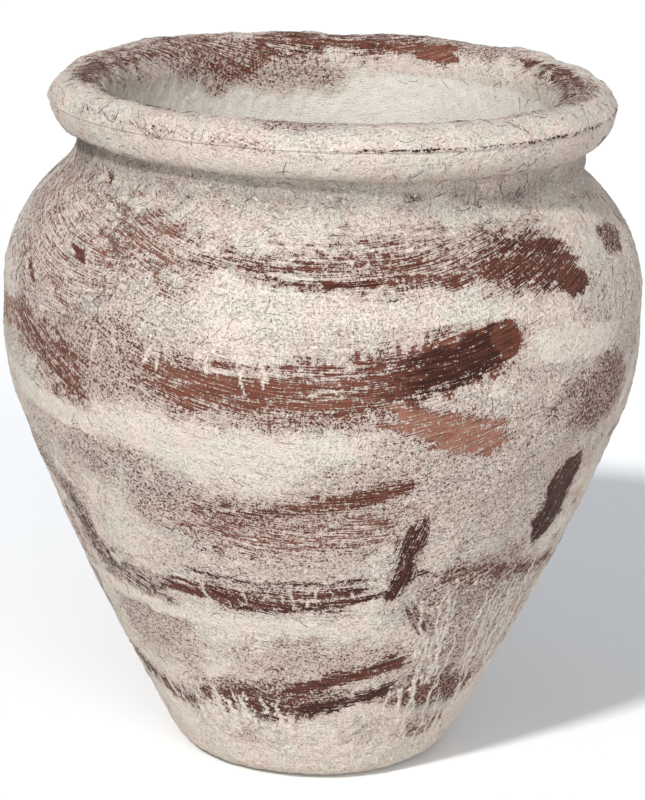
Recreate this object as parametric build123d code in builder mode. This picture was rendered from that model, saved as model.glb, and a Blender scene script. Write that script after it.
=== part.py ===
"""A Greek pithos: a wide-mouthed clay storage jar with a high belly and a heavy rolled rim.

A jar of this size is built up on its base disc in rings of clay, called courses. Each course is
left to stiffen, its top is cut to a level bed, and the next one is set on that bed with slip.
The pieces here are the disc, the straight wall courses, the belly and shoulder courses, the neck
ring and the rim coil.

Millimetres, +Z up. The origin is the middle of the underside, on the ground.
"""

from build123d import *
import math
import os

# Overall form, outside
height = 650.0  # ground to the crest of the rim
base_radius = 127.0  # where the wall would reach the ground if its edge were sharp
base_edge_round = 34.0  # worn, rounded edge of the base
belly_radius = 300.0  # widest part of the jar
belly_depth = 213.0  # crest of the rim down to the middle of the widest part
belly_band = 30.0  # upright stretch at the widest part
lower_belly_radius = 240.0  # curve from the belly into the lower wall
lower_belly_turn = 21.0  # degrees that this curve leans the wall in

# Neck and rim
mouth_radius = 206.0  # clear opening of the throat
rim_roll_radius = 30.0  # section of the rolled rim
crease_rise = 11.0  # crease under the rim coil, above the middle of the roll
crease_ledge = 1.5  # the coil stands this far out over the lip
lip_edge_height = 16.0  # upright edge of the flared lip, under the rim coil
lip_overhang = 28.0  # the lip stands this far out from the narrowest part of the neck
neck_depth = 68.0  # crest of the rim down to the narrowest part of the neck
neck_cove_radius = 26.0  # hollow where the shoulder runs up into the neck

# Clay thickness, and the beds between the pieces
wall_thickness = 24.0
base_thickness = 28.0
course_count = 3  # straight courses between the base disc and the belly course
slip_gap = 0.3  # layer of slip on each bed
flat_depth = 0.8  # rounds are scraped in flats, each at most this far inside the arc

# Places that follow from the sizes above
neck_height = height - neck_depth
belly_height = height - belly_depth
belly_low = belly_height - belly_band / 2
belly_high = belly_height + belly_band / 2
roll_middle = (mouth_radius + rim_roll_radius, height - rim_roll_radius)
crease_height = roll_middle[1] + crease_rise
crease_angle = math.degrees(math.asin(crease_rise / rim_roll_radius))
crease_radius = roll_middle[0] + rim_roll_radius * math.cos(math.radians(crease_angle))
lip_radius = crease_radius - crease_ledge
neck_radius = lip_radius - lip_overhang
wall_lean = math.atan2(belly_radius - base_radius, belly_height)
floor_radius = base_radius + base_thickness * math.tan(wall_lean) - wall_thickness / math.cos(wall_lean)

# The shoulder is an ogee, full at the belly and hollow at the neck, and upright at both ends
shoulder_rise = neck_height - belly_high
shoulder_turn = 2 * math.degrees(math.atan((belly_radius - neck_radius) / shoulder_rise))
shoulder_radius = shoulder_rise / math.sin(math.radians(shoulder_turn)) - neck_cove_radius


def flats(arc):
    """The points between which an arc is scraped flat."""
    one_turn = 2 * math.acos(1 - flat_depth / arc.radius)
    count = math.ceil(arc.length / arc.radius / one_turn)
    return [arc @ (step / count) for step in range(count + 1)]


def inner_point(arc, place):
    """The point on the inner face of the wall, level with a place on an outer arc."""
    outer_point = arc @ place
    lean = math.asin((outer_point.Y - arc.arc_center.Y) / arc.radius)
    return outer_point - Vector(wall_thickness / math.cos(lean), 0)


# Curves that set out the section, with radius across and height up
with BuildLine() as setting_out:
    belly_turn = JernArc((belly_radius, belly_low), (0, -1), lower_belly_radius, -lower_belly_turn)
    bow = TangentArc(belly_turn @ 1, (base_radius, 0), tangent=belly_turn % 1)
    course_corners = [bow @ (1 - step / course_count) for step in range(course_count + 1)]
    foot_slope = course_corners[1] - course_corners[0]
    foot_turn = math.atan2(foot_slope.Y, foot_slope.X)
    edge_middle = (base_radius - base_edge_round * math.tan(foot_turn / 2), base_edge_round)
    base_edge = CenterArc(edge_middle, base_edge_round, -90, math.degrees(foot_turn))
    shoulder = JernArc((belly_radius, belly_high), (0, 1), shoulder_radius, shoulder_turn)
    neck_cove = JernArc(shoulder @ 1, shoulder % 1, neck_cove_radius, -shoulder_turn)
    roll_outside = CenterArc(roll_middle, rim_roll_radius, crease_angle, 90 - crease_angle)
    roll_inside = CenterArc(roll_middle, rim_roll_radius, 90, 90)

neck_bed = (shoulder @ 1).Y
lip_corner = (lip_radius, crease_height - lip_edge_height)
inner_shoulder = [inner_point(shoulder, place) for place in (0.5, 0)]

# Half section of the whole jar
with BuildSketch(Plane.XZ) as jar_section:
    with BuildLine():
        # Outside, from the ground up
        Line((0, 0), base_edge @ 0)
        Polyline(*flats(base_edge))
        Polyline(base_edge @ 1, *course_corners[1:])
        Polyline(*flats(belly_turn))
        Line((belly_radius, belly_low), (belly_radius, belly_high))
        Polyline(*flats(shoulder))
        Polyline(*flats(neck_cove))
        Polyline(neck_cove @ 1, lip_corner, (lip_radius, crease_height), (crease_radius, crease_height))
        Polyline(*flats(roll_outside))
        Polyline(*flats(roll_inside))
        # Inside, from the rim down
        Polyline(roll_inside @ 1, (mouth_radius, neck_bed), *inner_shoulder)
        Polyline(inner_shoulder[-1], inner_point(belly_turn, 0), inner_point(belly_turn, 1))
        Polyline(inner_point(belly_turn, 1), (floor_radius, base_thickness), (0, base_thickness), (0, 0))
    make_face()


def keep_between(low, high):
    """Trims the sketched section to the heights that one piece takes up."""
    with Locations((0, (low + high) / 2)):
        Rectangle(4 * belly_radius, high - low, mode=Mode.INTERSECT)


def finish(part, name):
    """Names a finished piece and writes its file."""
    part.label = name
    export_step(part, f"parts/{name}.step")
    print(name, "volume", round(part.volume / 1000), "cm3")


os.makedirs("parts", exist_ok=True)

# Base disc: the floor of the jar, up to the bed of the first course
with BuildPart() as base_disc:
    with BuildSketch(Plane.XZ):
        add(jar_section.sketch_local)
        keep_between(0, base_thickness)
    revolve(axis=Axis.Z)
finish(base_disc.part, "base_disc")

# Rings from the base disc up to the lip, each standing on its slip
ring_names = [f"wall_course_{number + 1}" for number in range(course_count)]
ring_names += ["belly_course", "shoulder_course", "neck_ring"]
course_beds = [corner.Y for corner in course_corners[1:]]
beds = [base_thickness, *course_beds, belly_high, neck_bed, crease_height]
for name, bed, next_bed in zip(ring_names, beds, beds[1:]):
    with BuildPart() as ring:
        with BuildSketch(Plane.XZ):
            add(jar_section.sketch_local)
            keep_between(bed + slip_gap, next_bed)
        revolve(axis=Axis.Z)
    finish(ring.part, name)

# Rim coil: the rounded roll that is laid on the lip and closes the mouth
with BuildPart() as rim_coil:
    with BuildSketch(Plane.XZ):
        add(jar_section.sketch_local)
        keep_between(crease_height + slip_gap, height)
    revolve(axis=Axis.Z)
finish(rim_coil.part, "rim_coil")
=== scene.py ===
import bpy
import bmesh
import math
import numpy as np
from mathutils import Matrix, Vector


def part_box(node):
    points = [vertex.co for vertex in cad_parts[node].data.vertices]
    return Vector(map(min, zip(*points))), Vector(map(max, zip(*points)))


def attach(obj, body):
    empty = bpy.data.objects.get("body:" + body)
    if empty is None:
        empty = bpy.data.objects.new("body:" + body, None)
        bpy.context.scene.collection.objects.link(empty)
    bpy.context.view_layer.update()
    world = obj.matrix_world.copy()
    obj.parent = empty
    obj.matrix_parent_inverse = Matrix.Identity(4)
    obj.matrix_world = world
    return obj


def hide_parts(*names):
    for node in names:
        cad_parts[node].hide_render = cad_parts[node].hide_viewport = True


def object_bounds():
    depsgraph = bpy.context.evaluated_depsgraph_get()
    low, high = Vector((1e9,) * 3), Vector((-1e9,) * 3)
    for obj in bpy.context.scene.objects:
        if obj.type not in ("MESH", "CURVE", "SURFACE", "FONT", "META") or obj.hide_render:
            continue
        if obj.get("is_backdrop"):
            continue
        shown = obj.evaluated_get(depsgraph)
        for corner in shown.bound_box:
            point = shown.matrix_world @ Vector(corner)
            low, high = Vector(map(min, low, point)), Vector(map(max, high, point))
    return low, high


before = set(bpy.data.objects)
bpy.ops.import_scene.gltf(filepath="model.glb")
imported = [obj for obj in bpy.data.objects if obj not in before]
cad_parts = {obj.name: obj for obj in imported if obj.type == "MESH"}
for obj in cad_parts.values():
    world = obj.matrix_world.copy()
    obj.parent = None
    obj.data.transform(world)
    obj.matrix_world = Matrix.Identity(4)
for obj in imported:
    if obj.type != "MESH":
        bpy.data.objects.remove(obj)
cadLow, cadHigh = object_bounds()
print("frame loaded")

mm = 0.001  # the frame is in metres

# outline of the jar, in the sizes of the part
height = cadHigh.z
bellyRadius = cadHigh.x
jar = {
    "baseRadius": 127 * mm, "baseEdge": 34 * mm,
    "floor": 28 * mm, "floorRadius": 113.7 * mm, "wall": 24 * mm,
    "bellyDepth": 213 * mm, "bellyBand": 30 * mm,
    "lowerBelly": 240 * mm, "lowerTurn": math.radians(21),
    "mouth": 206 * mm, "roll": 30 * mm, "creaseRise": 11 * mm, "creaseLedge": 1.5 * mm,
    "lipOverhang": 25.5 * mm, "lipHeight": 28 * mm, "lipCove": 6 * mm,
    "neckDepth": 68 * mm, "neckCove": 26 * mm,
}


def arcLine(centre, radius, start, end, gap=0.5 * mm):
    count = max(3, math.ceil(abs(end - start) * radius / gap) + 1)
    turn = np.linspace(start, end, count)
    return np.column_stack((centre[0] + radius * np.cos(turn), centre[1] + radius * np.sin(turn)))


def lengthsOf(line):
    return np.concatenate(([0], np.cumsum(np.hypot(*np.diff(line, axis=0).T))))


bellyLow = height - jar["bellyDepth"] - jar["bellyBand"] / 2
bellyHigh = bellyLow + jar["bellyBand"]
rollMiddle = (jar["mouth"] + jar["roll"], height - jar["roll"])
creaseHeight = rollMiddle[1] + jar["creaseRise"]
creaseTurn = math.asin(jar["creaseRise"] / jar["roll"])
lipRadius = rollMiddle[0] + jar["roll"] * math.cos(creaseTurn) - jar["creaseLedge"]
neckRadius = lipRadius - jar["lipOverhang"]
neckHeight = height - jar["neckDepth"]

# lower wall and belly
turnEnd = -jar["lowerTurn"]
bellyMiddle = (bellyRadius - jar["lowerBelly"], bellyLow)
bellyTurn = arcLine(bellyMiddle, jar["lowerBelly"], turnEnd, 0)
inward = np.array((-math.cos(turnEnd), -math.sin(turnEnd)))
chord = np.array((jar["baseRadius"], 0)) - bellyTurn[0]
bowRadius = chord @ chord / (2 * inward @ chord)
bowMiddle = bellyTurn[0] + inward * bowRadius
footTurn = math.atan2(-bowMiddle[1], jar["baseRadius"] - bowMiddle[0])
edgeInset = jar["baseEdge"] * math.tan((math.pi / 2 + footTurn) / 2)
edgeMiddle = (jar["baseRadius"] - edgeInset, jar["baseEdge"])
baseEdge = arcLine(edgeMiddle, jar["baseEdge"], -math.pi / 2, footTurn)
bow = arcLine(bowMiddle, bowRadius, footTurn, turnEnd)
bow = bow[bow[:, 1] > baseEdge[-1, 1] + mm]

# shoulder, neck and lip
shoulderTurn = 2 * math.atan((bellyRadius - neckRadius) / (neckHeight - bellyHigh))
shoulderRadius = (neckHeight - bellyHigh) / math.sin(shoulderTurn) - jar["neckCove"]
shoulderMiddle = (bellyRadius - shoulderRadius, bellyHigh)
shoulder = arcLine(shoulderMiddle, shoulderRadius, 0, shoulderTurn)
neckMiddle = (neckRadius + jar["neckCove"], neckHeight)
neckCove = arcLine(neckMiddle, jar["neckCove"], math.pi + shoulderTurn, math.pi)
lipMiddle = (neckRadius + jar["lipCove"], creaseHeight)
coveMiddle = (lipMiddle[0], creaseHeight - jar["lipHeight"] - jar["lipCove"])
lipCove = arcLine(coveMiddle, jar["lipCove"], math.pi, math.pi / 2)
lipWidth = jar["lipOverhang"] - jar["lipCove"]
lipEdge = arcLine((0, 0), lipWidth, -math.pi / 2, 0)
lipEdge = lipEdge * (1, jar["lipHeight"] / lipWidth) + lipMiddle

outerLine = np.vstack((baseEdge, bow, bellyTurn[1:], shoulder, neckCove[1:], lipCove, lipEdge[1:]))
rimLine = arcLine(rollMiddle, jar["roll"], creaseTurn, math.pi - creaseTurn)
innerLine = np.vstack((
    arcLine(rollMiddle, jar["roll"], math.pi - creaseTurn, math.pi),
    [(jar["mouth"], shoulder[-1, 1])],
    arcLine(shoulderMiddle, shoulderRadius - jar["wall"], shoulderTurn / 2, 0),
    arcLine(bellyMiddle, jar["lowerBelly"] - jar["wall"], 0, turnEnd),
    [(jar["floorRadius"], jar["floor"])],
))
rimStart = lengthsOf(outerLine)[-1]  # run: length along the surface, from the base edge over the rim
innerStart = rimStart + lengthsOf(rimLine)[-1]
slopeReach = 0.6 * mm  # a normal is taken over this much of the line to each side


def stretch(line, start, end, gap, runStart):
    # points, outward normals and run of a line between two of its lengths
    along = lengthsOf(line)
    places = np.linspace(start, end, max(2, math.ceil(abs(end - start) / gap) + 1))

    def at(lengths):
        return np.column_stack([np.interp(lengths, along, line[:, axis]) for axis in (0, 1)])

    ahead = at(np.minimum(places + slopeReach, along[-1])) - at(np.maximum(places - slopeReach, 0))
    normals = np.column_stack((ahead[:, 1], -ahead[:, 0])) / np.hypot(*ahead.T)[:, None]
    return np.column_stack((at(places), normals, places + runStart))


def lengthAt(line, level):
    heights = line[:, 1]
    order = 1 if heights[-1] > heights[0] else -1
    return np.interp(order * level, order * heights, lengthsOf(line))


# paint marks: places are degrees round from the front, right positive, and millimetres above the ground
# on the rim the second number is the turn round the roll, 0 outside, 90 on top and 180 in the mouth
# sizes are millimetres; tone goes from dark umber 0 to tan 1; cream is how much is left on top, 0 to 1
wornPatches = [
    {"at": (-16, 376), "size": (330, 110), "tilt": -6, "tone": 0.4, "cream": 0.98, "pale": True},
    {"at": (4, 489), "size": (420, 66), "tone": 0.4, "cream": 0.84, "pale": True},
    {"at": (30, 330), "size": (150, 110), "tone": 0.4, "cream": 0.8, "pale": True},
    {"at": (-4, 176), "size": (300, 50), "tone": 0.4, "cream": 0.96, "pale": True},
    {"at": (-20, 266), "size": (240, 34), "tone": 0.1, "cream": 0.92, "pale": True},
    {"at": (10, 562), "size": (360, 40), "tone": 0.3, "cream": 0.94, "pale": True},
    {"at": (-42, 442), "size": (150, 100), "tone": 0.6, "cream": 0.57},
    {"at": (-10, 411), "size": (280, 44), "tone": 0.5, "cream": 0.55},
    {"at": (-56, 352), "size": (130, 90), "tone": 0.2, "cream": 0.7},
    {"at": (-33, 316), "size": (210, 80), "tilt": -28, "tone": 0.35, "cream": 0.6},
    {"at": (12, 356), "size": (190, 70), "tilt": 14, "tone": 0.5, "cream": 0.68},
    {"at": (-6, 298), "size": (280, 74), "tilt": 8, "tone": 0.6, "cream": 0.6},
    {"at": (-8, 246), "size": (280, 66), "tone": 0.15, "cream": 0.74},
    {"at": (40, 345), "size": (280, 210), "tilt": 25, "tone": 0.5, "cream": 0.7},
    {"at": (58, 402), "size": (140, 66), "tilt": 10, "tone": 0.5, "cream": 0.46},
    {"at": (42, 160), "size": (190, 210), "tone": 0.45, "cream": 0.63},
    {"at": (40, 100), "size": (130, 56), "tone": 0.4, "cream": 0.34},
    {"at": (38, 222), "size": (170, 80), "tone": 0.5, "cream": 0.58},
    {"at": (-45, 165), "size": (130, 110), "tone": 0.45, "cream": 0.62},
    {"at": (-14, 100), "size": (170, 54), "tone": 0.35, "cream": 0.46},
    {"at": (0, 150), "size": (160, 60), "tone": 0.5, "cream": 0.64},
    {"at": (70, 527), "size": (64, 34), "tone": 0.3, "cream": 0.4},
    {"at": (66, 500), "size": (110, 120), "tone": 0.3, "cream": 0.78},
    {"at": (-58, 490), "size": (120, 60), "tone": 0.7, "cream": 0.76},
    {"at": (14, 474), "size": (330, 40), "tone": 0.6, "cream": 0.8},
    {"at": (-30, 480), "size": (120, 60), "tone": 0.5, "cream": 0.76},
    {"at": (25, 548), "size": (200, 30), "tone": 0.5, "cream": 0.86},
    {"at": (212, 168), "roll": True, "size": (130, 60), "tone": 0.55, "cream": 0.42},
    {"at": (190, 190), "roll": True, "size": (120, 50), "tone": 0.55, "cream": 0.6},
    {"at": (146, 112), "roll": True, "size": (190, 44), "tone": 0.4, "cream": 0.58},
    {"at": (78, 112), "roll": True, "size": (150, 46), "tone": 0.25, "cream": 0.5},
    {"at": (-9, 80), "roll": True, "size": (80, 32), "tone": 0.55, "cream": 0.56},
    {"at": (-20, 60), "roll": True, "size": (240, 34), "tone": 0.3, "cream": 0.84},
]
strokes = [
    {"at": (-78, 560), "to": (-44, 512), "sag": -14, "width": 96, "tone": 0.8, "cream": 0.6,
     "dry": 1.4, "soft": 50, "ends": 60, "combed": True},
    {"at": (-57, 584), "to": (-53, 570), "width": 5, "tone": 0.3, "cream": 0.1, "dry": 0.3,
     "soft": 4},
    {"at": (-52, 523), "to": (-48, 514), "width": 6, "tone": 0.3, "cream": 0.1, "dry": 0.3,
     "soft": 4},
    {"at": (-65, 494), "to": (-62, 484), "width": 8, "tone": 0.4, "cream": 0.1, "dry": 0.3,
     "soft": 4},
    {"at": (-44, 546), "to": (-25, 532), "width": 44, "tone": 0.8, "cream": 0.45, "dry": 0.8,
     "soft": 44, "ends": 60},
    {"at": (-20, 536), "to": (-8, 535), "width": 20, "tone": 0.4, "cream": 0.5, "dry": 1.0,
     "soft": 24, "ends": 50},
    {"at": (-6, 530), "to": (46, 527), "width": 38, "tone": 0.45, "cream": 0.28, "dry": 1.3,
     "soft": 26, "ends": 60, "halo": 0.3},
    {"at": (4, 547), "to": (48, 543), "width": 40, "tone": 0.55, "cream": 0.56, "dry": 1.1,
     "soft": 36, "ends": 50, "halo": 0.1},
    {"at": (26, 538), "to": (51, 526), "width": 52, "tone": 0.3, "cream": 0.22, "dry": 0.9,
     "soft": 18, "lean": 0.55, "fade": 0.6},
    {"at": (45, 515), "to": (53, 509), "width": 30, "tone": 0.3, "cream": 0.06, "dry": 0.4,
     "soft": 8, "lean": 0.4, "fade": 0.4},
    {"at": (-1, 521), "to": (11, 522), "width": 6, "tone": 0.25, "cream": 0.1, "dry": 0.3,
     "soft": 4},
    {"at": (-40, 441), "to": (33, 473), "sag": -23, "width": 50, "tone": 0.6, "cream": 0.22,
     "dry": 1.0, "fade": 0.22, "soft": 22, "fringe": 12, "ends": 30},
    {"at": (4, 436), "to": (32, 469), "sag": -7, "width": 38, "tone": 0.1, "cream": 0.06, "dry": 0.7,
     "fade": 0.7, "halo": 0},
    {"at": (31, 470), "to": (34, 474), "width": 43, "tone": 0.36, "cream": 0.0, "dry": 0.3,
     "soft": 4, "ends": 6},
    {"at": (-84, 436), "to": (-62, 447), "width": 24, "tone": 0.75, "cream": 0.3, "dry": 1.0},
    {"at": (-66, 450), "to": (-46, 406), "width": 44, "tone": 0.5, "cream": 0.24, "dry": 1.0,
     "soft": 24},
    {"at": (12, 406), "to": (32, 384), "width": 24, "tone": 0.85, "cream": 0.2, "dry": 1.0},
    {"at": (20, 388), "to": (33, 376), "width": 28, "tone": 0.9, "cream": 0.28, "dry": 0.6},
    {"at": (-24, 309), "to": (16, 344), "sag": -13, "width": 18, "tone": 0.45, "cream": 0.38,
     "dry": 1.0, "soft": 14},
    {"at": (-4, 318), "to": (16, 342), "sag": -3, "width": 15, "tone": 0.45, "cream": 0.22,
     "dry": 0.8},
    {"at": (-22, 282), "to": (14, 298), "sag": -5, "width": 36, "tone": 0.7, "cream": 0.46,
     "dry": 1.2, "soft": 26, "ends": 60},
    {"at": (-30, 219), "to": (10, 226), "sag": -5, "width": 28, "tone": 0.3, "cream": 0.2,
     "dry": 1.2, "soft": 14, "fringe": 8, "ends": 50},
    {"at": (-28, 238), "to": (10, 242), "sag": -6, "width": 4, "tone": 0.2, "cream": 0.36,
     "dry": 0.9, "soft": 3},
    {"at": (-20, 204), "to": (16, 226), "sag": -9, "width": 6, "tone": 0.2, "cream": 0.26,
     "dry": 0.9, "soft": 4},
    {"at": (20.6, 304), "to": (18, 252), "width": 25, "tone": 0.2, "cream": 0.14, "dry": 0.8,
     "soft": 9, "leaf": 1},
    {"at": (18.8, 270), "to": (15.8, 212), "sag": 3, "width": 20, "tone": 0.1, "cream": 0.14,
     "dry": 0.9, "soft": 10, "leaf": 1},
    {"at": (56, 342), "to": (52, 288), "width": 44, "tone": 0.15, "cream": 0.02, "dry": 0.5,
     "soft": 6, "leaf": 1},
    {"at": (56, 314), "to": (52.5, 250), "width": 46, "tone": 0.05, "cream": 0.0, "dry": 0.4,
     "soft": 8, "leaf": 1},
    {"at": (-61, 280), "to": (-55, 214), "width": 24, "tone": 0.25, "cream": 0.26, "dry": 0.6,
     "soft": 22},
    {"at": (-57, 222), "to": (-38, 206), "width": 22, "tone": 0.2, "cream": 0.3, "dry": 0.6,
     "soft": 22},
    {"at": (-7, 108), "to": (24.5, 145), "sag": 2, "width": 18, "tone": 0.3, "cream": 0.1,
     "dry": 0.8, "soft": 8},
    {"at": (-3, 86), "to": (21, 113), "sag": -3, "width": 14, "tone": 0.1, "cream": 0.1, "dry": 0.8,
     "soft": 8},
    {"at": (-36, 94), "to": (-4, 92), "width": 26, "tone": 0.3, "cream": 0.26, "dry": 0.8,
     "soft": 18},
    {"at": (-80, 112), "to": (-40, 76), "width": 22, "tone": 0.3, "cream": 0.3, "dry": 0.7,
     "soft": 14},
    {"at": (-68, 250), "to": (-72, 150), "width": 12, "tone": 0.3, "cream": 0.4, "dry": 0.7},
    {"at": (21, 247), "to": (30, 235), "width": 6, "tone": 0.2, "cream": 0.2, "dry": 0.9, "soft": 5,
     "halo": 0.2},
    {"at": (29, 235), "to": (37, 233), "width": 18, "tone": 0.45, "cream": 0.34, "dry": 0.9,
     "soft": 12},
    {"at": (37, 237), "to": (78, 208), "sag": -4, "width": 15, "tone": 0.4, "cream": 0.34,
     "dry": 0.9, "soft": 14, "ends": 40},
    {"at": (23.5, 197), "to": (25.5, 185), "width": 15, "tone": 0.4, "cream": 0.3, "dry": 0.9,
     "soft": 12},
    {"at": (36, 50), "to": (52, 60), "width": 14, "tone": 0.55, "cream": 0.34, "dry": 1.0,
     "soft": 16},
    {"at": (14, 592), "to": (20, 591), "width": 3, "tone": 0.0, "cream": 0.2, "dry": 0.9, "soft": 3,
     "ends": 14, "halo": 0},
    {"at": (16, 588), "to": (21, 588), "width": 2.5, "tone": 0.0, "cream": 0.2, "dry": 0.9,
     "soft": 3, "ends": 14, "halo": 0},
    {"at": (-94, 480), "to": (-90, 575), "width": 14, "tone": 0.3, "cream": 0.44, "dry": 1.1},
]
rimStrokes = [
    {"at": (160, 116), "to": (202, 122), "width": 30, "tone": 0.4, "cream": 0.28, "dry": 1.0,
     "soft": 14},
    {"at": (156, 130), "to": (162, 128), "width": 18, "tone": 0.5, "cream": 0.15, "dry": 0.6},
    {"at": (147, 138), "to": (154, 138), "width": 22, "tone": 0.55, "cream": 0.08, "dry": 0.5},
    {"at": (206, 126), "to": (266, 116), "width": 38, "tone": 0.5, "cream": 0.46, "dry": 1.0,
     "soft": 24, "ends": 40},
    {"at": (258, 112), "to": (288, 106), "width": 22, "tone": 0.3, "cream": 0.14, "dry": 1.0,
     "soft": 10, "ends": 40},
    {"at": (280, 128), "to": (328, 101), "width": 12, "tone": 0.3, "cream": 0.12, "dry": 1.2,
     "soft": 8, "ends": 60},
    {"at": (286, 104), "to": (322, 106), "width": 12, "tone": 0.25, "cream": 0.5, "dry": 1.3,
     "soft": 8, "ends": 60},
    {"at": (124, 122), "to": (84, 110), "width": 12, "tone": 0.35, "cream": 0.2, "dry": 1.2,
     "soft": 12, "ends": 40},
    {"at": (112, 138), "to": (74, 126), "width": 14, "tone": 0.3, "cream": 0.34, "dry": 1.1,
     "soft": 18, "ends": 40},
    # the next two dark strokes along the inner edge of the front of the roll are brown paint and also paint
    # in the shade along that edge
    {"at": (92, 122), "to": (40, 112), "width": 16, "tone": 0.12, "cream": 0.56, "dry": 0.9,
     "soft": 16, "ends": 40},
    {"at": (44, 110), "to": (-16, 108), "width": 14, "tone": 0.05, "cream": 0.66, "dry": 0.9,
     "soft": 14, "ends": 40},
    {"at": (-62, 44), "to": (-34, 30), "width": 6, "tone": 0.2, "cream": 0.62, "dry": 1.0,
     "halo": 0.2},
    {"at": (-44, 32), "to": (-14, 26), "width": 6, "tone": 0.2, "cream": 0.62, "dry": 1.0,
     "halo": 0.2},
    # a thin dark line along the crease, from the front round to the right: painted shade in the crease
    {"at": (-4, 24.5), "to": (86, 24), "width": 2.4, "tone": 0.05, "cream": 0.42, "dry": 1.2,
     "soft": 2.4, "halo": 0},
]
smoothBands = [
    {"at": (-78, 204), "to": (4, 188), "sag": -12, "width": 15},
    {"at": (-180, 16), "to": (179, 16), "width": 56, "cream": 0.9},
    {"at": (38, 456), "to": (62, 448), "width": 26},
    {"at": (-20, 500), "to": (44, 494), "width": 20, "cream": 0.88},
    {"at": (-70, 385), "to": (-40, 372), "sag": -4, "width": 22},
]
dripGroups = [
    {"seed": 7, "count": 40, "arc": (27, 82), "top": (66, 240), "length": (50, 150), "width": 1.4,
     "beads": 4},
    {"seed": 8, "count": 22, "arc": (-42, -2), "top": (74, 106), "length": (12, 36), "width": 2.6,
     "beads": 3},
    {"seed": 9, "count": 9, "arc": (-42, -4), "top": (446, 458), "length": (10, 24), "width": 1.7},
    {"seed": 10, "count": 10, "arc": (-32, 16), "top": (218, 234), "length": (6, 18), "width": 1.5},
    {"seed": 11, "count": 80, "arc": (90, 315), "top": (60, 260), "length": (30, 110),
     "width": 2.4},
]

# the unseen back is brushed like the front, with a worn patch near each stroke
backStrokes = {
    "seed": 21, "count": 26, "arc": (92, 268), "levels": (90, 560), "rise": (-16, 16),
    "length": (50, 190), "perDegree": 9, "ends": 60,
}
backBrush = {
    "sag": (-16, 4), "width": (12, 46), "tone": (0.1, 0.8), "cream": (0.1, 0.45),
    "dry": (0.6, 1.1), "soft": (8, 24),
}
backPatches = {
    "aside": (-20, 20), "above": (-50, 50), "wide": (90, 260), "tall": (40, 110),
    "tilt": (-20, 20), "tone": (0.2, 0.6), "cream": (0.58, 0.78),
}
chance = np.random.default_rng(backStrokes["seed"])
for number in range(backStrokes["count"]):
    turn = chance.uniform(*backStrokes["arc"])
    level = chance.uniform(*backStrokes["levels"])
    reach = chance.uniform(*backStrokes["length"]) / backStrokes["perDegree"]
    endLevel = level + chance.uniform(*backStrokes["rise"])
    stroke = {name: chance.uniform(*limits) for name, limits in backBrush.items()}
    stroke.update({"at": (turn - reach, level), "to": (turn + reach, endLevel)})
    strokes.append(dict(stroke, ends=backStrokes["ends"]))
    patch = {name: chance.uniform(*limits) for name, limits in backPatches.items()}
    patch["at"] = (turn + patch["aside"], level + patch["above"])
    wornPatches.append(dict(patch, size=(patch["wide"], patch["tall"])))


hashPrimes = (73856093, 19349663, 83492791)


def latticeNoise(points, size, seed):
    # smooth noise from 0 to 1, blended between the corners of a grid of this size
    table = np.random.default_rng(seed).random(1 << 14)
    scaled = points / size
    cell = np.floor(scaled).astype(np.int64)
    part = scaled - cell
    part = part * part * (3 - 2 * part)
    total = np.zeros(len(points))
    for corner in range(8):
        step = [(corner >> axis) & 1 for axis in range(3)]
        mixed = np.zeros(len(points), np.int64)
        weight = np.ones(len(points))
        for axis, prime in enumerate(hashPrimes):
            mixed ^= (cell[:, axis] + step[axis]) * prime
            weight *= part[:, axis] if step[axis] else 1 - part[:, axis]
        total += weight * table[mixed & (len(table) - 1)]
    return total


def smoothStep(values):
    values = np.clip(values, 0, 1)
    return values * values * (3 - 2 * values)


def runAt(mark, place):
    if "roll" in mark:
        return rimStart + (math.radians(place) - creaseTurn) * jar["roll"]
    return lengthAt(outerLine, place * mm)


allRuns = np.concatenate((
    lengthsOf(outerLine), rimStart + lengthsOf(rimLine), innerStart + lengthsOf(innerLine),
))
runRadius = (allRuns, np.concatenate((outerLine[:, 0], rimLine[:, 0], innerLine[:, 0])))
runLevel = (allRuns, np.concatenate((outerLine[:, 1], rimLine[:, 1], innerLine[:, 1])))


def rightOf(surface, turn, radius):
    # how far each point is to the right of a place, along the surface
    away = (surface["turn"] - math.radians(turn) + math.pi) % (2 * math.pi) - math.pi
    return away * radius


stretchAlong = 0.045  # brush lines are this much finer across than along
brushing = {
    "hairWidth": 2 * mm, "hairLength": 70 * mm, "hairStep": 0.37,
    "tipScale": (0.6, 0.2, 1), "tuftScale": (0.35, 0.6, 1),
    "fineRag": (6 * mm, 0.9), "broadRag": (14 * mm, 0.7), "fringeGap": 3 * mm, "fringeLength": 30 * mm,
    "ends": 24, "soft": 9, "halo": 0.5, "haloCream": 0.6,
    "lift": 0.5 * mm, "combFrom": 0.25, "combStep": 0.1,
}


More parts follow.
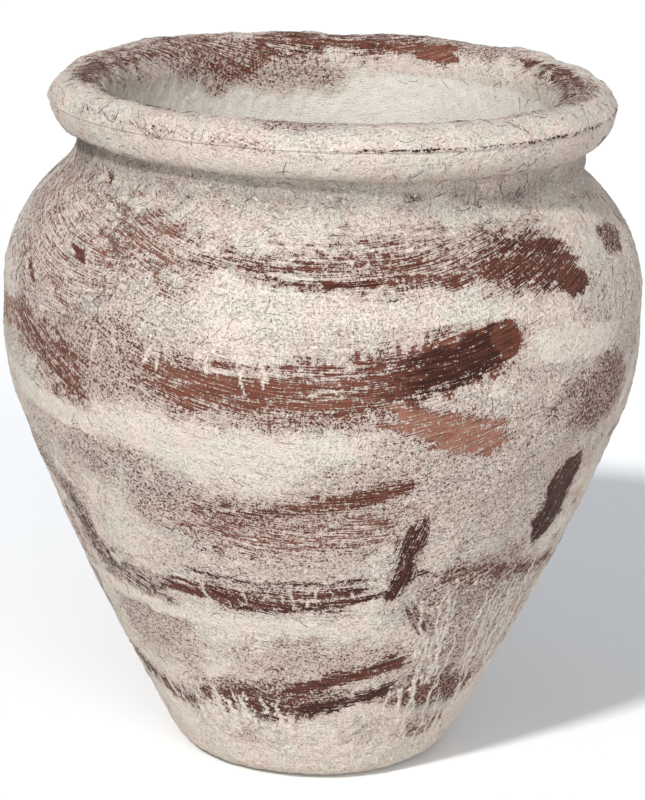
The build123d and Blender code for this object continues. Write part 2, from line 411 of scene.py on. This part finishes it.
def paintStroke(mark, surface, seed):
    runs = [runAt(mark, place[1]) for place in (mark["at"], mark["to"])]
    radius = np.interp(sum(runs) / 2, *runRadius)
    span = math.radians(mark["to"][0] - mark["at"][0]) * radius
    rise = runs[1] - runs[0]
    length = math.hypot(span, rise)
    half = mark["width"] * mm / 2
    soft = mark.get("soft", brushing["soft"]) * mm
    sag = mark.get("sag", 0) * mm
    margin = 1.5 * half + 1.5 * soft
    reach = margin + abs(sag) + abs(rise) / 2
    near = np.flatnonzero(np.abs(surface["run"] - sum(runs) / 2) < reach)
    if not len(near):
        return
    middle = (mark["at"][0] + mark["to"][0]) / 2
    right = rightOf({"turn": surface["turn"][near]}, middle, radius) + span / 2
    up = surface["run"][near] - runs[0]
    along = (right * span + up * rise) / length
    close = (along > -margin) & (along < length + margin)
    near, right, up, along = near[close], right[close], up[close], along[close]
    if not len(near):
        return
    share = along / length
    across = (up * span - right * rise) / length - sag * 4 * share * (1 - share)
    points = surface["points"][near]
    along = along + mark.get("lean", 0) * across
    own = np.full(len(along), seed * brushing["hairStep"])
    hairs = np.column_stack((across / brushing["hairWidth"], along / brushing["hairLength"], own))
    tips = latticeNoise(hairs * brushing["tipScale"], 1, seed + 20) - 0.5
    tips *= mark.get("ends", brushing["ends"]) * mm
    over = np.maximum(np.maximum(-along, along - length) + half * 0.7 + tips, 0)
    fineSize, fineShare = brushing["fineRag"]
    broadSize, broadShare = brushing["broadRag"]
    ragged = (latticeNoise(points, fineSize, seed) - 0.5) * soft * fineShare
    ragged += (latticeNoise(points, broadSize, seed + 7) - 0.5) * soft * broadShare
    if "fringe" in mark:
        level = np.zeros(len(up))
        teeth = np.column_stack((right / brushing["fringeGap"], up / brushing["fringeLength"], level))
        ragged -= latticeNoise(teeth, 1, seed + 3) * mark["fringe"] * mm * smoothStep(across / half + 0.3)
    apart = np.hypot(across, over)
    if "leaf" in mark:
        apart = np.abs(across) + half * (2 * share - 1) ** 2
    edge = smoothStep((half - apart + ragged) / soft + 0.5)
    if "fade" in mark:
        edge *= smoothStep(share / mark["fade"])
    bristle = latticeNoise(hairs, 1, seed + 50) * 0.55
    bristle += latticeNoise(hairs * brushing["tuftScale"], 1, seed + 90) * 0.45
    amount = edge * np.clip(1 + mark["dry"] * (bristle - 0.6) * 2.4, 0, 1)
    halo = smoothStep((half * 0.8 - apart + ragged * 1.6) / (soft + half) + 0.8)
    halo *= mark.get("halo", brushing["halo"])
    surface["cover"][near] += np.minimum(brushing["haloCream"] - surface["cover"][near], 0) * halo
    surface["cover"][near] += (mark["cream"] - surface["cover"][near]) * amount
    surface["tone"][near] += (mark["tone"] - surface["tone"][near]) * np.minimum(edge * 1.3, 1)
    surface["lift"][near] += (bristle - 0.5) * brushing["lift"] * edge
    surface["brush"][near] = np.maximum(surface["brush"][near], edge)
    if mark.get("combed", abs(rise) > abs(span)):
        combed = edge > brushing["combFrom"]
        own = np.full(len(along), seed * brushing["combStep"])
        flat = np.column_stack((along * stretchAlong, own, across))
        surface["comb"][near[combed]] = flat[combed]


patchEdge = {"broad": (22 * mm, 0.6), "fine": (8 * mm, 0.4), "uneven": 1.3}


def paintPatch(mark, surface, seed):
    run = runAt(mark, mark["at"][1])
    wide, tall = mark["size"]
    near = np.flatnonzero(np.abs(surface["run"] - run) < max(wide, tall) * mm)
    if not len(near):
        return
    radius = np.interp(run, *runRadius)
    right = rightOf({"turn": surface["turn"][near]}, mark["at"][0], radius)
    up = surface["run"][near] - run
    tilt = math.radians(mark.get("tilt", 0))
    along = right * math.cos(tilt) + up * math.sin(tilt)
    across = up * math.cos(tilt) - right * math.sin(tilt)
    reach = (along / (wide * mm / 2)) ** 2 + (across / (tall * mm / 2)) ** 2
    close = reach < 2.2
    near, reach = near[close], reach[close]
    if not len(near):
        return
    points = surface["points"][near]
    broadSize, broadShare = patchEdge["broad"]
    fineSize, fineShare = patchEdge["fine"]
    uneven = latticeNoise(points, broadSize, seed) * broadShare
    uneven += latticeNoise(points, fineSize, seed + 5) * fineShare - 0.5
    amount = smoothStep(1.1 - reach * 0.75 + uneven * patchEdge["uneven"])
    keep = np.maximum if "pale" in mark else np.minimum  # pale patches add cream, the others wear it
    cover = surface["cover"][near]
    surface["cover"][near] += (keep(mark["cream"], cover) - cover) * amount
    surface["tone"][near] += (mark["tone"] - surface["tone"][near]) * amount


bandEdge = {"size": 12 * mm, "uneven": 6 * mm, "soft": 5 * mm}


def paintBand(mark, surface, seed):
    runs = [runAt(mark, place[1]) for place in (mark["at"], mark["to"])]
    middle = (mark["at"][0] + mark["to"][0]) / 2
    span = math.radians(mark["to"][0] - mark["at"][0])
    share = rightOf(surface, middle, 1) / span + 0.5
    level = runs[0] + (runs[1] - runs[0]) * share + mark.get("sag", 0) * mm * 4 * share * (1 - share)
    uneven = (latticeNoise(surface["points"], bandEdge["size"], seed) - 0.5) * bandEdge["uneven"]
    inside = mark["width"] * mm / 2 - np.abs(surface["run"] - level) + uneven
    ends = smoothStep(np.minimum(share, 1 - share) * 6 + 0.2)
    amount = smoothStep(inside / bandEdge["soft"] + 0.5) * ends
    surface["cover"] += (mark.get("cream", 1.0) - surface["cover"]) * amount


dripping = {
    "lowest": 12 * mm, "widths": (0.6, 1.2), "slant": (-0.25, 0.06), "cover": 1.02, "lift": 0.35 * mm,
    "margin": 3 * mm, "reach": 40 * mm, "wander": [(2.2 * mm, 11 * mm, 1), (1.2 * mm, 4.3 * mm, 2)],
    "topSoft": 14 * mm, "lowSoft": 5 * mm, "uneven": 5 * mm, "broken": 3.5 * mm,
    "beadSpread": 5 * mm, "beadSize": (0.9 * mm, 1.7 * mm), "beadCover": 1.12, "beadLift": 0.6 * mm,
}


def runDrips(group, surface):
    chance = np.random.default_rng(group["seed"])
    for drip in range(group["count"]):
        turn = chance.uniform(*group["arc"])
        top = chance.uniform(*group["top"]) * mm
        low = max(top - chance.uniform(*group["length"]) * mm, dripping["lowest"])
        phase = chance.uniform(0, 6.28)
        width = group["width"] * mm * chance.uniform(*dripping["widths"])
        slant = chance.uniform(*dripping["slant"])
        start = lengthAt(outerLine, low)
        end = lengthAt(outerLine, top)
        margin = dripping["margin"]
        near = np.flatnonzero((surface["run"] < end + margin) & (surface["run"] > start - margin))
        if not len(near):
            continue
        run = surface["run"][near]
        side = rightOf({"turn": surface["turn"][near]}, turn, np.interp(run, *runRadius))
        close = np.abs(side) < dripping["reach"]
        near, run, side = near[close], run[close], side[close]
        points = surface["points"][near]
        for far, wave, times in dripping["wander"]:
            side = side - far * np.sin(run / wave + times * phase)
        side = side - slant * (run - start)
        ends = np.minimum((end - run) / dripping["topSoft"], (run - start) / dripping["lowSoft"])
        uneven = latticeNoise(points, dripping["uneven"], 60 + drip)
        amount = smoothStep(1.35 - np.abs(side) / (width * (0.5 + uneven))) * smoothStep(ends + 0.5)
        amount *= 0.6 + 0.6 * latticeNoise(points, dripping["broken"], 61 + drip)
        surface["cover"][near] += (dripping["cover"] - surface["cover"][near]) * amount
        surface["lift"][near] += dripping["lift"] * amount
        for bead in range(group.get("beads", 0)):
            place = start + (end - start) * chance.random()
            offset = chance.normal(0, dripping["beadSpread"])
            size = chance.uniform(*dripping["beadSize"])
            drop = smoothStep(1.6 - np.hypot(side - offset, run - place) / size)
            surface["cover"][near] += (dripping["beadCover"] - surface["cover"][near]) * drop
            surface["lift"][near] += dripping["beadLift"] * drop


# ground coat, before the marks; each noise has its size, its swing and its seed
coat = {
    "cover": 0.87, "coverNoise": [(55 * mm, 0.18, 1), (17 * mm, 0.32, 2), (6 * mm, 0.2, 12)],
    "tone": 0.35, "toneNoise": [(40 * mm, 0.5, 3)],
    "liftNoise": [(30 * mm, 1.8 * mm, 4), (9 * mm, 0.9 * mm, 5), (4.5 * mm, 1.2 * mm, 6)],
    "rimReach": 30 * mm, "rimCover": 0.9, "rimEven": 0.6, "relief": 1.1, "rimRelief": 0.3,
    "insideReach": 20 * mm, "insideCoverAndLight": 1.1,
    "smile": 90 * mm,  # brush lines rise this far by 60 degrees to each side of the front
    # the next keys set painted shade in the neck hollow under the lip, a patchy grey band, and a slight
    # darkening over the lip and rim
    "shadeAbove": 5 * mm, "shadeWidth": 20 * mm, "shadeSize": 24 * mm, "shadeLeast": 0.6, "shadeSwing": 0.8,
    "rimDarkening": 0.15, "flushWidth": 9 * mm, "flushTurn": 0.5,
    "lumpSize": 20 * mm, "lumpLift": 6 * mm, "lumpEdge": 12 * mm, "frontLumps": 0.35, "backLumps": 0.65,
}


def layered(points, start, layers):
    total = np.full(len(points), float(start))
    for size, swing, seed in layers:
        total += swing * (latticeNoise(points, size, seed) - 0.5)
    return total


def paintSurface(points, turn, run):
    surface = {"points": points, "turn": turn, "run": run}
    surface["cover"] = np.minimum(layered(points, coat["cover"], coat["coverNoise"]), 1)
    onRim = smoothStep((run - lengthAt(outerLine, neckHeight)) / coat["rimReach"])
    surface["cover"] += (coat["rimCover"] - surface["cover"]) * onRim * coat["rimEven"]
    surface["relief"] = coat["relief"] - coat["rimRelief"] * onRim
    # cover above 1 inside the mouth turns the cream whiter: painted light on the inner walls, which face
    # down into shade
    deep = smoothStep((run - innerStart) / coat["insideReach"])
    surface["cover"] += (coat["insideCoverAndLight"] - surface["cover"]) * deep
    surface["tone"] = layered(points, coat["tone"], coat["toneNoise"])
    surface["brush"] = np.zeros(len(points))
    # painted shade: a patchy grey band in the neck hollow under the lip, plus a slight darkening from the
    # neck up over the rim
    hollowRun = lengthAt(outerLine, neckHeight + coat["shadeAbove"])
    hollow = np.exp(-((run - hollowRun) / coat["shadeWidth"]) ** 2)
    patchy = coat["shadeLeast"] + coat["shadeSwing"] * latticeNoise(points, coat["shadeSize"], 15)
    surface["neckShadeAndRimDarkening"] = hollow * patchy + coat["rimDarkening"] * onRim
    bent = run - 2 * coat["smile"] * (1 - np.cos(turn))
    surface["comb"] = np.column_stack((points[:, :2] * stretchAlong, bent))
    surface["lift"] = layered(points, 0, coat["liftNoise"])
    for number, mark in enumerate(wornPatches):
        paintPatch(mark, surface, 100 + number)
    for number, mark in enumerate(strokes):
        paintStroke(mark, surface, 200 + number)
    for number, mark in enumerate(rimStrokes):
        paintStroke(dict(mark, roll=True), surface, 400 + number)
    for number, mark in enumerate(smoothBands):
        paintBand(mark, surface, 500 + number)
    for group in dripGroups:
        runDrips(group, surface)
    # the crease closes up on the left
    flush = np.exp(-((rimStart - run) / coat["flushWidth"]) ** 2) * (run < rimStart)
    surface["lift"] += jar["creaseLedge"] * flush * smoothStep(-turn / coat["flushTurn"] - 0.1)
    # the roll is lumpier at the back
    lumps = latticeNoise(points, coat["lumpSize"], 14) - 0.5
    onRoll = smoothStep((run - rimStart) / coat["lumpEdge"])
    onRoll *= smoothStep((innerStart - run) / coat["lumpEdge"])
    share = coat["frontLumps"] + coat["backLumps"] * smoothStep(0.5 - np.cos(turn))
    surface["lift"] += lumps * coat["lumpLift"] * onRoll * share
    return surface


# rings of the jar, one for each piece of the part
rings = {
    "outerGap": 1.8 * mm, "throatGap": 3 * mm, "innerGap": 9 * mm, "steps": 1000,
    "sharp": math.radians(40), "merge": 0.001 * mm,
}
# the rim and the neck are not laid quite true
handSet = {
    "from": 590 * mm, "over": 40 * mm, "into": 60 * mm,
    "aside": 4.5 * mm, "quarters": 7 * mm, "front": 2.5 * mm,
    "neckAbove": 13 * mm, "neckWidth": 26 * mm, "neckAside": 4.5 * mm,
    "neckDrop": 8 * mm, "neckRise": 5 * mm,  # right and left of the front
}


def rimSet(turn, run):
    above = smoothStep((run - lengthAt(outerLine, handSet["from"])) / handSet["over"])
    below = smoothStep((innerStart + handSet["into"] - run) / handSet["into"])
    share = above * below
    ahead = np.cos(turn)
    rise = handSet["front"] * np.maximum(ahead, 0) ** 2
    rise = rise + handSet["quarters"] * np.sin(turn) ** 2 * np.maximum(-ahead, 0)
    neckRun = lengthAt(outerLine, neckHeight + handSet["neckAbove"])
    neck = np.exp(-((run - neckRun) / handSet["neckWidth"]) ** 2) * (1 - share)
    lean = -np.sin(turn) * np.where(turn > 0, handSet["neckDrop"], handSet["neckRise"])
    aside = handSet["aside"] * share + handSet["neckAside"] * neck
    return np.column_stack((aside, np.zeros(len(run)), rise * share + lean * neck))


def spinRing(name, section, closed):
    form = bmesh.new()
    layers = [form.verts.layers.float.new(key) for key in ("normalOut", "normalUp", "run", "painted")]
    made = []
    for radius, level, *values in section:
        vert = form.verts.new((0, radius, level))
        for layer, value in zip(layers, values):
            vert[layer] = value
        made.append(vert)
    for vert, following in zip(made, made[1:]):
        form.edges.new((vert, following))
    if closed:
        form.edges.new((made[-1], made[0]))
    profile = bpy.data.meshes.new(name + "_profile")
    form.to_mesh(profile)
    form.free()
    holder = bpy.data.objects.new(name + "_profile", profile)
    bpy.context.scene.collection.objects.link(holder)
    turned = holder.modifiers.new("spin", "SCREW")
    turned.angle = 2 * math.pi
    turned.steps = rings["steps"]
    turned.render_steps = rings["steps"]
    turned.use_merge_vertices = True
    turned.merge_threshold = rings["merge"]
    graph = bpy.context.evaluated_depsgraph_get()
    solid = holder.evaluated_get(graph)
    mesh = bpy.data.meshes.new_from_object(solid, preserve_all_data_layers=True, depsgraph=graph)
    bpy.data.objects.remove(holder)
    form = bmesh.new()
    form.from_mesh(mesh)
    bmesh.ops.remove_doubles(form, verts=form.verts, dist=rings["merge"])
    bmesh.ops.recalc_face_normals(form, faces=form.faces)
    form.to_mesh(mesh)
    form.free()
    return mesh


def readLayer(mesh, name):
    values = np.zeros(len(mesh.vertices), np.float32)
    mesh.attributes[name].data.foreach_get("value", values)
    return values.astype(float)


def addLayer(mesh, name, values, kind="FLOAT", field="value"):
    layer = mesh.attributes.new(name, kind, "POINT")
    layer.data.foreach_set(field, np.ascontiguousarray(values, np.float32).ravel())


def makeRing(node, section, closed=True):
    mesh = spinRing(node, section, closed)
    flat = np.zeros(len(mesh.vertices) * 3, np.float32)
    mesh.vertices.foreach_get("co", flat)
    points = flat.reshape(-1, 3).astype(float)
    turn = np.arctan2(points[:, 0], -points[:, 1])
    painted = readLayer(mesh, "painted")
    surface = paintSurface(points, turn, readLayer(mesh, "run"))
    out = np.column_stack((np.sin(turn), -np.cos(turn)))
    normals = np.column_stack((out * readLayer(mesh, "normalOut")[:, None], readLayer(mesh, "normalUp")))
    points = points + normals * (surface["lift"] * painted)[:, None]
    points[:, 2] = np.maximum(points[:, 2], 0)
    points += rimSet(turn, surface["run"])
    mesh.vertices.foreach_set("co", points.astype(np.float32).ravel())
    addLayer(mesh, "cover", np.where(painted > 0, surface["cover"], 0))
    for name in ("tone", "brush", "neckShadeAndRimDarkening", "relief"):
        addLayer(mesh, name, surface[name])
    addLayer(mesh, "comb", surface["comb"], "FLOAT_VECTOR", "vector")
    mesh.shade_smooth()
    mesh.set_sharp_from_angle(angle=rings["sharp"])
    mesh.update()
    piece = bpy.data.objects.new(node + "_clay", mesh)
    bpy.context.scene.collection.objects.link(piece)
    mesh.materials.clear()
    mesh.materials.append(paintedClay)
    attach(piece, "root")
    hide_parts(node)
    print(node, len(mesh.polygons), "faces")


class Wire:
    def __init__(self, tree, socket=None):
        self.tree = tree
        self.socket = socket

    def node(self, kind, inputs=(), out=0, **settings):
        made = self.tree.nodes.new(kind)
        for name, value in settings.items():
            setattr(made, name, value)
        for name, value in dict(inputs).items():
            if isinstance(value, Wire):
                self.tree.links.new(value.socket, made.inputs[name])
            else:
                made.inputs[name].default_value = value
        return Wire(self.tree, made.outputs[out] if made.outputs else None)

    def maths(self, operation, *values):
        return self.node("ShaderNodeMath", dict(enumerate(values)), operation=operation)

    def __add__(self, other):
        return self.maths("ADD", self, other)

    def __sub__(self, other):
        return self.maths("SUBTRACT", self, other)

    def __mul__(self, other):
        return self.maths("MULTIPLY", self, other)

    __radd__ = __add__
    __rmul__ = __mul__


def newMaterial(name):
    material = bpy.data.materials.new(name)
    material.use_nodes = True
    tree = material.node_tree
    tree.nodes.clear()
    return material, Wire(tree)


def colour(red, green, blue):
    # a colour as it is seen on a screen, 0 to 255, made linear
    return tuple(((c / 255 + 0.055) / 1.055) ** 2.4 for c in (red, green, blue)) + (1,)


def between(wire, value, low, high):
    limits = {"Value": value, "From Min": low, "From Max": high}
    return wire.node("ShaderNodeMapRange", limits, interpolation_type="SMOOTHSTEP")


def blendColour(wire, factor, first, second):
    return wire.node("ShaderNodeMix", {0: factor, 6: first, 7: second}, out=2, data_type="RGBA")


def noise(wire, vector, size, detail=2.0, rough=0.5):
    inputs = {"Vector": vector, "Scale": 1 / size, "Detail": detail, "Roughness": rough}
    return wire.node("ShaderNodeTexNoise", inputs)


# cream dry-brushed over a brown ground, on fired clay
paint = {
    "cream": colour(227, 212, 198), "pinkCream": colour(228, 206, 194), "coolCream": colour(222, 213, 199),
    "umber": colour(54, 25, 16), "redBrown": colour(115, 66, 51), "tan": colour(173, 121, 101),
    # the last three colours are a grey for painted shade under the lip, a whiter cream for thick beads and
    # for painted light inside, and a white for painted glints
    "pit": colour(174, 138, 121), "stained": colour(230, 209, 196), "neckShadeAndRimDarkening": colour(108, 101, 96),
    "thickAndLitCream": colour(236, 229, 218), "glintWhite": colour(246, 238, 227),
    "grain": 2.5 * mm, "fleck": 5 * mm, "fine": 1.0 * mm, "streak": 1.1 * mm, "thin": 34 * mm,
    "grainWeight": 1.9, "fineWeight": 0.8, "streakWeight": 0.5, "brushWeight": 1.1,
    "creamEdge": (0.45, 0.55), "bareRough": 0.55, "creamRough": 0.3, "gloss": 0.15, "bump": 2.6 * mm,
}
paintedClay, wire = newMaterial("painted_clay")
place = wire.node("ShaderNodeTexCoord", out=3)
cover, tone, brush, neckShadeAndRimDarkening, relief = [
    wire.node("ShaderNodeAttribute", attribute_name=name, out=2)
    for name in ("cover", "tone", "brush", "neckShadeAndRimDarkening", "relief")
]
comb = wire.node("ShaderNodeAttribute", attribute_name="comb", out=1)
streak = noise(wire, comb, paint["streak"], 2) - 0.5
grain = noise(wire, place, paint["grain"], 3, 0.7) - 0.5
fine = noise(wire, place, paint["fine"], 1) - 0.5
fleck = noise(wire, place, paint["fleck"], 3, 0.6) - 0.5
thin = noise(wire, place, paint["thin"], 3, 0.6) - 0.5
combed = streak * (paint["streakWeight"] + brush * paint["brushWeight"])
speckle = grain + (fleck - grain) * brush * 0.6
level = cover + speckle * paint["grainWeight"] + fine * paint["fineWeight"] + combed
cream = between(wire, level, *paint["creamEdge"])
shade = tone + streak * 1.5 + grain * 0.5 + fine * 0.3
darkBrown = blendColour(wire, between(wire, shade, 0.0, 0.5), paint["umber"], paint["redBrown"])
brown = blendColour(wire, between(wire, shade, 0.45, 1.0), darkBrown, paint["tan"])
brown = blendColour(wire, between(wire, cover, 0.62, 0.92) * 0.6, brown, paint["pit"])
worn = between(wire, cover + thin * 0.9 + grain * 0.3, 0.98, 0.6)
cool = between(wire, thin * 2.0 + streak * 0.5, -0.25, 0.3)
fullCream = blendColour(wire, cool, paint["cream"], paint["coolCream"])
# cover above 1 turns whiter: thick paint on the beads of the runs, and painted light on the inside walls
fullCream = blendColour(wire, between(wire, cover, 1.02, 1.09), fullCream, paint["thickAndLitCream"])
creamTone = blendColour(wire, worn * 0.85, fullCream, paint["pinkCream"])
creamTone = blendColour(wire, between(wire, cover + thin * 0.4, 0.6, 0.15), creamTone, paint["stained"])
# painted shade under the lip: the neck hollow, and the rim a little, blended toward grey
creamTone = blendColour(wire, neckShadeAndRimDarkening * (0.46 + streak * 0.5), creamTone, paint["neckShadeAndRimDarkening"])
sandy = between(wire, fine + streak * 0.6 + grain * 0.4 + cover * 0.12, 0.04, -0.14)
creamTone = blendColour(wire, sandy * 0.26, creamTone, paint["pit"])
# painted highlights: small white glints scattered over the cream
paintedGlint = between(wire, fleck + fine * 0.6, 0.16, 0.26)
creamTone = blendColour(wire, paintedGlint * 0.7, creamTone, paint["glintWhite"])
base = blendColour(wire, cream, brown, creamTone)
rough = paint["bareRough"] + cream * paint["creamRough"]
bumpHeight = (between(wire, level, 0.15, 0.95) * 0.6 + fine * 0.5 + streak * 0.3) * relief
bump = wire.node("ShaderNodeBump", {"Strength": 1.0, "Distance": paint["bump"], "Height": bumpHeight})
shader = wire.node("ShaderNodeBsdfPrincipled", {
    "Base Color": base, "Roughness": rough, "Normal": bump, "Specular IOR Level": paint["gloss"],
})
wire.node("ShaderNodeOutputMaterial", {"Surface": shader})
print("material made")


def outerStretch(low, high):
    ends = lengthAt(outerLine, low), lengthAt(outerLine, high)
    points = stretch(outerLine, *ends, rings["outerGap"], 0)
    return np.column_stack((points, np.ones(len(points))))


def innerStretch(high, low, gap):
    ends = lengthAt(innerLine, high), lengthAt(innerLine, low)
    points = stretch(innerLine, *ends, gap, innerStart)
    return np.column_stack((points, np.ones(len(points))))


# base disc, with its bare underside and floor
disc = {"underside": (0, 30 * mm, 60 * mm, 90 * mm), "floor": (85 * mm, 55 * mm, 25 * mm, 0)}
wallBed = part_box("base_disc")[1].z
ground = [(radius, 0, 0, -1, 0, 0) for radius in disc["underside"]]
floorRun = innerStart + lengthsOf(innerLine)[-1]
floor = [(radius, jar["floor"], 0, 1, floorRun, 0) for radius in (jar["floorRadius"],) + disc["floor"]]
makeRing("base_disc", np.vstack((ground, outerStretch(0, wallBed), floor)), closed=False)

# courses, from one bed up to the next
courses = ["wall_course_1", "wall_course_2", "wall_course_3"]
courses += ["belly_course", "shoulder_course", "neck_ring"]
beds = [wallBed] + [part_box(node)[1].z for node in courses]
for node, low, high in zip(courses, beds, beds[1:]):
    gap = rings["throatGap"] if node == "neck_ring" else rings["innerGap"]
    makeRing(node, np.vstack((outerStretch(low, high), innerStretch(high, low, gap))))

# rim coil, from its ledge on the lip over to the throat
ledge = [(lipRadius, creaseHeight, 1, 0, rimStart, 1)]
rimRun = lengthsOf(rimLine)[-1]
coil = stretch(rimLine, 0, rimRun, rings["outerGap"], rimStart)
makeRing("rim_coil", np.vstack((ledge, np.column_stack((coil, np.ones(len(coil)))))))
print("rings made")

# brush bristles left in the paint, as thin strands that lie on the clay
bristles = {
    "seed": 31, "length": (4 * mm, 16 * mm), "thick": 0.2 * mm, "bend": 90, "points": 6, "cream": 0.3,
    "arc": (-180, 180), "low": lengthAt(outerLine, 80 * mm), "shoulder": lengthAt(outerLine, 470 * mm),
    "rim": rimStart + 6 * mm, "throat": innerStart + 20 * mm,
}
bristleZones = [
    {"count": 620, "run": (bristles["shoulder"], rimStart)},
    {"count": 330, "run": (bristles["rim"], bristles["throat"])},
    {"count": 260, "run": (bristles["low"], bristles["shoulder"])},
]


def onSurface(turn, run):
    radius = np.interp(run, *runRadius)
    return np.column_stack((radius * np.sin(turn), -radius * np.cos(turn), np.interp(run, *runLevel)))


def strandPaths():
    chance = np.random.default_rng(bristles["seed"])
    turns = []
    runs = []
    for zone in bristleZones:
        for strand in range(zone["count"]):
            steps = np.linspace(0, chance.uniform(*bristles["length"]), bristles["points"])
            heading = chance.uniform(0, 2 * math.pi) + chance.uniform(-1, 1) * bristles["bend"] * steps
            run = chance.uniform(*zone["run"]) + np.cumsum(np.sin(heading)) * steps[1]
            turn = math.radians(chance.uniform(*bristles["arc"]))
            turns.append(turn + np.cumsum(np.cos(heading)) * steps[1] / np.interp(run, *runRadius))
            runs.append(run)
    return np.concatenate(turns), np.concatenate(runs)


turn, run = strandPaths()
flat = onSurface(turn, run)
lift = paintSurface(flat, np.arctan2(np.sin(turn), np.cos(turn)), run)["lift"] + bristles["thick"]
ahead = (onSurface(turn, run + 0.5 * mm) - onSurface(turn, run - 0.5 * mm)) / mm
level = np.column_stack((np.cos(turn), np.sin(turn), np.zeros(len(turn))))
outward = np.cross(level, ahead)
paths = (flat + outward * lift[:, None] + rimSet(turn, run)).reshape(-1, bristles["points"], 3)
curve = bpy.data.curves.new("bristle_lines", "CURVE")
curve.dimensions = "3D"
curve.bevel_depth = bristles["thick"]
curve.bevel_resolution = 0
chance = np.random.default_rng(bristles["seed"] + 1)
for path in paths:
    strand = curve.splines.new("POLY")
    strand.points.add(bristles["points"] - 1)
    strand.points.foreach_set("co", np.column_stack((path, np.ones(len(path)))).astype(np.float32).ravel())
    strand.material_index = int(chance.random() < bristles["cream"])
holder = bpy.data.objects.new("bristle_lines", curve)
bpy.context.scene.collection.objects.link(holder)
graph = bpy.context.evaluated_depsgraph_get()
mesh = bpy.data.meshes.new_from_object(holder.evaluated_get(graph), depsgraph=graph)
bpy.data.objects.remove(holder)
mesh.materials.clear()
for name, shade in (("bristle", paint["umber"]), ("coated_bristle", paint["cream"])):
    material, wire = newMaterial(name)
    shader = wire.node("ShaderNodeBsdfPrincipled", {"Base Color": shade, "Roughness": 0.6})
    wire.node("ShaderNodeOutputMaterial", {"Surface": shader})
    mesh.materials.append(material)
piece = bpy.data.objects.new("paint_bristles", mesh)
bpy.context.scene.collection.objects.link(piece)
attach(piece, "root")
print("bristles", len(mesh.polygons), "faces")

# floor, light and camera
stageSet = {
    "floorSize": 40, "floorGiven": (0.85, 0.84, 0.83, 1),
    "skyColour": (0.9, 0.95, 1, 1), "skyStrength": 0.43, "white": (1, 1, 1, 1),
}
sunLight = {"turn": (48, 0, -27), "strength": 2.4, "angle": 5, "colour": (1, 1, 1)}
fillLight = {"turn": (72, 0, 16), "strength": 1.2, "angle": 40, "colour": (0.95, 0.975, 1)}


def whereSeen(wire):
    # rays that show the background: from the camera, and by way of gloss or glass
    rays = ("Is Camera Ray", "Is Glossy Ray", "Is Transmission Ray")
    straight, glossy, through = [wire.node("ShaderNodeLightPath", out=ray) for ray in rays]
    return straight + glossy + through


bpy.ops.mesh.primitive_plane_add(size=stageSet["floorSize"])
floorPlane = bpy.context.object
floorPlane.name = "floor"
floorPaint, wire = newMaterial("floor_white")
seen = whereSeen(wire)
given = wire.node("ShaderNodeBsdfDiffuse", {"Color": stageSet["floorGiven"]})
shown = wire.node("ShaderNodeBsdfDiffuse", {"Color": stageSet["white"]})
both = wire.node("ShaderNodeMixShader", {0: seen, 1: given, 2: shown})
wire.node("ShaderNodeOutputMaterial", {"Surface": both})
floorPlane.data.materials.append(floorPaint)
floorPlane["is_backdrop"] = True

world = bpy.data.worlds.new("studio")
bpy.context.scene.world = world
world.use_nodes = True
world.node_tree.nodes.clear()
wire = Wire(world.node_tree)
seen = whereSeen(wire)
skyLook = {"Color": stageSet["skyColour"], "Strength": stageSet["skyStrength"]}
sky = wire.node("ShaderNodeBackground", skyLook)
plain = wire.node("ShaderNodeBackground", {"Color": stageSet["white"], "Strength": 1})
both = wire.node("ShaderNodeMixShader", {0: seen, 1: sky, 2: plain})
wire.node("ShaderNodeOutputWorld", {"Surface": both})


def hangLight(name, light):
    lamp = bpy.data.lights.new(name, "SUN")
    lamp.energy = light["strength"]
    lamp.color = light["colour"]
    lamp.angle = math.radians(light["angle"])
    holder = bpy.data.objects.new(name, lamp)
    holder.rotation_euler = [math.radians(turn) for turn in light["turn"]]
    bpy.context.scene.collection.objects.link(holder)


hangLight("sun", sunLight)
hangLight("fill", fillLight)

camera = {
    "place": (0, -3.0, 1.2066), "pitch": math.radians(90 - 16.16), "roll": math.radians(1.576),
    "lens": 147.3, "sensor": 36, "shift": 0.0031,
}
lens = bpy.data.cameras.new("camera")
lens.lens = camera["lens"]
lens.sensor_width = camera["sensor"]
lens.shift_x = camera["shift"]
eye = bpy.data.objects.new("camera", lens)
turned = Matrix.Rotation(camera["pitch"], 4, "X") @ Matrix.Rotation(camera["roll"], 4, "Z")
eye.matrix_world = Matrix.Translation(camera["place"]) @ turned
bpy.context.scene.collection.objects.link(eye)
bpy.context.scene.camera = eye
bpy.context.scene.view_settings.view_transform = "Standard"
print("stage set")

low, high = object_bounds()
